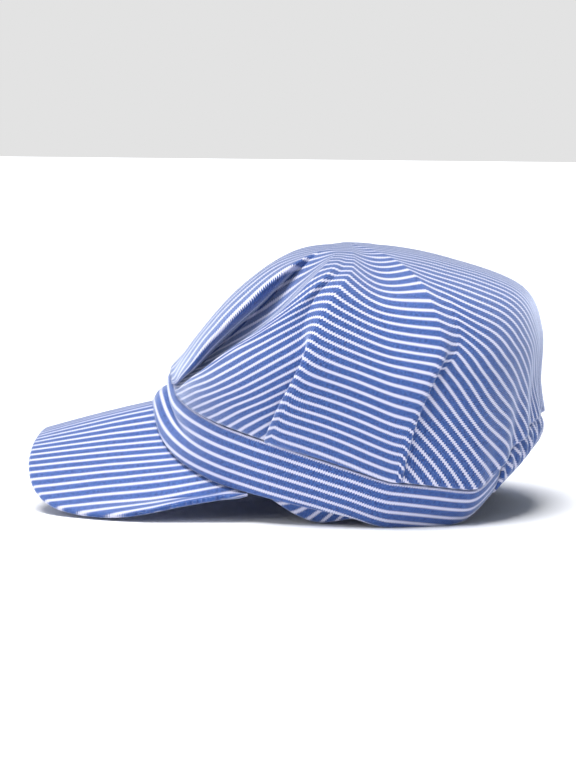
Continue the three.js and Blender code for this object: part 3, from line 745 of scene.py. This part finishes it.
# Peak: a curved board covered above and below with the twill, its stripes from front to back,
# with its rounded edge turned and its root stitched in under the band.
PEAK_HALF_WIDTH = 0.080
PEAK_REACH = 0.062
PEAK_WALL = 0.003
PEAK_SPAN = 60
PEAK_BOW = 0.0006
PEAK_ARCH = 0.031
PEAK_EASE = 0.0002
PEAK_STRIPE_PITCH = 0.0044
PEAK_STRIPE_WIDTH = 0.0013
PEAK_DRAW = 0.22
PEAK_TAPER = 0.018
PEAK_EDGE_STRIPE = 0.0014
PEAK_SIDE_START = 0.78
PEAK_FOLLOW = 0.5
PEAK_COLUMNS = 111
PEAK_ROWS = 60
LIP_POINTS = 2000
ROOT_POINTS = 400
ROOT_TUCK = 0.0006
STITCH_GAP = 0.0001
# One side of the peak's edge, from its middle round the corner to the band: shares of its half
# width, of its reach in front of the band and of its arch.
PEAK_LIP = {
    "across": [0.0, 0.2, 0.38, 0.55, 0.7, 0.83, 0.94, 0.99, 0.955, 0.89],
    "out": [0.975, 0.975, 0.97, 0.935, 0.83, 0.62, 0.25, -0.12, -0.56, -0.98],
    "up": [1.04, 0.98, 0.83, 0.57, 0.28, 0.08, 0.01, 0.09, 0.29, 0.43],
}
PEAK_LIP["place"] = list(np.linspace(0, 1, len(PEAK_LIP["across"])))
lip_across = smooth_curve(PEAK_LIP, "place", "across")
lip_out = smooth_curve(PEAK_LIP, "place", "out", True)
lip_up = smooth_curve(PEAK_LIP, "place", "up", True)


def peak_root(turn, out):
    """Middle of the peak's wall under the band's lower edge, deep enough to clear its slope."""
    ahead = placed(turn + 1, oval_radius(turn + 1), band_low(turn + 1))
    behind = placed(turn - 1, oval_radius(turn - 1), band_low(turn - 1))
    run = ahead - behind
    slope = np.arctan2(np.abs(run[..., 2]), np.linalg.norm(run[..., :2], axis=-1))
    drop = (PEAK_WALL / 2 + STITCH_GAP) / np.cos(slope)
    return placed(turn, band_radius(turn, 0.0) + out, band_low(turn) - drop)


def peak_outline():
    """One side of the lip, dense, from its middle round the corner to where it meets the root."""
    place = np.linspace(0, 1, LIP_POINTS)
    return np.stack([lip_across(place) * PEAK_HALF_WIDTH,
                     rim_shift - RIM_FRONT - lip_out(place) * PEAK_REACH,
                     PEAK_WALL / 2 + PEAK_EASE + lip_up(place) * PEAK_ARCH], axis=-1)


def peak_middle(columns, rows):
    """Middle surface of one side of the peak: straight lines from front to back, as a board bends."""
    lip = peak_outline()
    widest = int(np.argmax(lip[:, 0]))
    front = lip[:widest + 1]
    turn = np.linspace(0, PEAK_SPAN, ROOT_POINTS)
    root = peak_root(turn, -BAND_WALL / 2 - ROOT_TUCK)
    behind = np.concatenate([root[root[:, 0] < lip[-1, 0]], lip[:widest - 1:-1]])
    x = lip[widest, 0] * np.sin(np.linspace(0, pi / 2, columns))
    ends = [np.stack([x] + [np.interp(x, line[:, 0], line[:, k]) for k in (1, 2)], axis=-1)
            for line in (front, behind)]
    share = (1 - np.cos(np.linspace(0, pi, rows))) / 2
    points = ends[1][:, None] * (1 - share[:, None]) + ends[0][:, None] * share[:, None]
    points[..., 2] += PEAK_BOW * (1 - x / x[-1])[:, None] * np.sin(pi * share)
    from_lip = np.linalg.norm(points[:, :, None] - lip[None, None, ::5], axis=-1).min(axis=-1)
    from_lip[:, -1] = 0
    from_lip[x > lip[-1, 0], 0] = 0
    # The wall thins away where the edge runs in under the band.
    from_end = np.linalg.norm(points - lip[-1], axis=-1)
    return points, from_lip * smooth_step(from_end, 0, PEAK_TAPER)


def grid_normals(points):
    """Normals of a grid of points, on the upper side."""
    normals = np.cross(np.gradient(points, axis=1), np.gradient(points, axis=0))
    return normals / np.maximum(np.linalg.norm(normals, axis=-1, keepdims=True), 1e-12)


def build_peak():
    """The cover, closed round the board, and its cloth's stripes."""
    half_middle, from_lip = peak_middle(PEAK_COLUMNS, PEAK_ROWS)
    edge = np.clip(from_lip / (PEAK_WALL / 2), 0, 1)
    half = PEAK_WALL / 2 * np.sqrt(1 - (1 - edge) ** 2)
    arc = np.linalg.norm(np.diff(half_middle[:, PEAK_ROWS // 2], axis=0)[:, ::2], axis=-1)
    arc = np.concatenate([[0], np.cumsum(arc)])
    drawn = arc * (1 + PEAK_DRAW * (1 - arc / arc[-1]))
    # A white stripe runs just inside the edge.
    last_stripe = (round(arc[-1] / PEAK_STRIPE_PITCH) - 0.5) * PEAK_STRIPE_PITCH
    drawn *= (last_stripe + PEAK_EDGE_STRIPE) / arc[-1]
    # Toward the sides the stripes bend to follow the edge.
    lip = peak_outline()
    edge_line = lip[int(len(lip) * PEAK_SIDE_START):]
    missing = lip[:, 0].max() - np.interp(half_middle[..., 1], edge_line[:, 1], edge_line[:, 0])
    drawn = drawn[:, None] + missing * smooth_step(half_middle[..., 0] / lip[:, 0].max(), PEAK_FOLLOW, 1)
    mirrored = half_middle[:0:-1] * (-1, 1, 1)
    middle = np.concatenate([mirrored, half_middle])
    half = np.concatenate([half[:0:-1], half])[..., None]
    across = np.concatenate([-drawn[:0:-1], drawn])
    across = np.concatenate([across, across[:, ::-1]], axis=1)
    normals = grid_normals(middle)
    normals[[0, -1]] = normals[[3, -4]]
    above = middle + normals * half
    below = middle - normals * half
    section = np.concatenate([above, below[:, ::-1]], axis=1)
    cloth = np.stack([across, section[..., 1]], axis=-1)
    return sheet_object("peak_cover", section, cloth, False)


peak = build_peak()
peak.data.materials.append(twill_material("peak twill", pitch=PEAK_STRIPE_PITCH, width=PEAK_STRIPE_WIDTH))
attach(peak, "root")
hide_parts("brim")

# Stage: a plain pale floor, soft studio lights and the camera at the photograph's angle.
FLOOR_SIZE = 6.0
VIEW_TURN = 100.0
VIEW_RISE = 7.0
VIEW_DISTANCE = 1.8
PIXELS_HIGH = 768
PIXELS_PER_METRE = 1940.0
SENSOR = 36.0
AIM_ALONG = -0.0309
AIM_UP = 0.0615

floor_mesh = bpy.data.meshes.new("floor")
edge = FLOOR_SIZE / 2
corners = [(-edge, -edge, 0), (edge, -edge, 0), (edge, edge, 0), (-edge, edge, 0)]
floor_mesh.from_pydata(corners, [], [(0, 1, 2, 3)])
floor = bpy.data.objects.new("floor", floor_mesh)
bpy.context.scene.collection.objects.link(floor)
floor_paint = bpy.data.materials.new("pale floor")
floor_paint.use_nodes = True
paint = floor_paint.node_tree.nodes["Principled BSDF"]
paint.inputs["Base Color"].default_value = (0.93, 0.93, 0.94, 1)
paint.inputs["Roughness"].default_value = 0.9
floor.data.materials.append(floor_paint)

overhead = bpy.data.lights.new("overhead light", "SUN")
overhead.angle = radians(36)
overhead.energy = 4.6
overhead_lamp = bpy.data.objects.new("overhead light", overhead)
bpy.context.scene.collection.objects.link(overhead_lamp)
overhead_lamp.rotation_euler = (radians(8), radians(8), 0)
side_fill = bpy.data.lights.new("side fill", "AREA")
side_fill.shape = "SQUARE"
side_fill.size = 1.0
side_fill.energy = 9
side_lamp = bpy.data.objects.new("side fill", side_fill)
bpy.context.scene.collection.objects.link(side_lamp)
side_lamp.location = (1.2, -1.1, 0.8)
side_lamp.rotation_euler = (-side_lamp.location.normalized()).to_track_quat("-Z", "Y").to_euler()
world = bpy.data.worlds.new("studio")
world.use_nodes = True
sky = world.node_tree.nodes["Background"]
sky.inputs["Color"].default_value = (0.80, 0.88, 1.0, 1)
sky.inputs["Strength"].default_value = 0.30
backdrop = world.node_tree.nodes.new("ShaderNodeBackground")
backdrop.inputs["Strength"].default_value = 0.96
seen = world.node_tree.nodes.new("ShaderNodeLightPath")
shown = world.node_tree.nodes.new("ShaderNodeMixShader")
for source, entry in (
    (seen.outputs["Is Camera Ray"], shown.inputs[0]),
    (sky.outputs[0], shown.inputs[1]),
    (backdrop.outputs[0], shown.inputs[2]),
    (shown.outputs[0], world.node_tree.nodes["World Output"].inputs["Surface"]),
):
    world.node_tree.links.new(source, entry)
bpy.context.scene.world = world
bpy.context.scene.view_settings.view_transform = "Standard"

turn = radians(VIEW_TURN)
rise = radians(VIEW_RISE)
back = np.array([sin(turn) * cos(rise), -cos(turn) * cos(rise), sin(rise)])
right = np.array([cos(turn), sin(turn), 0.0])
up = np.cross(back, right)
target = np.array([0, rim_shift, 0]) + right * AIM_ALONG + up * AIM_UP
lens = bpy.data.cameras.new("camera")
lens.sensor_width = SENSOR
lens.lens = SENSOR * VIEW_DISTANCE / (PIXELS_HIGH / PIXELS_PER_METRE)
camera = bpy.data.objects.new("camera", lens)
bpy.context.scene.collection.objects.link(camera)
camera.location = target + back * VIEW_DISTANCE
camera.rotation_euler = (pi / 2 - rise, 0, turn)
bpy.context.scene.camera = camera
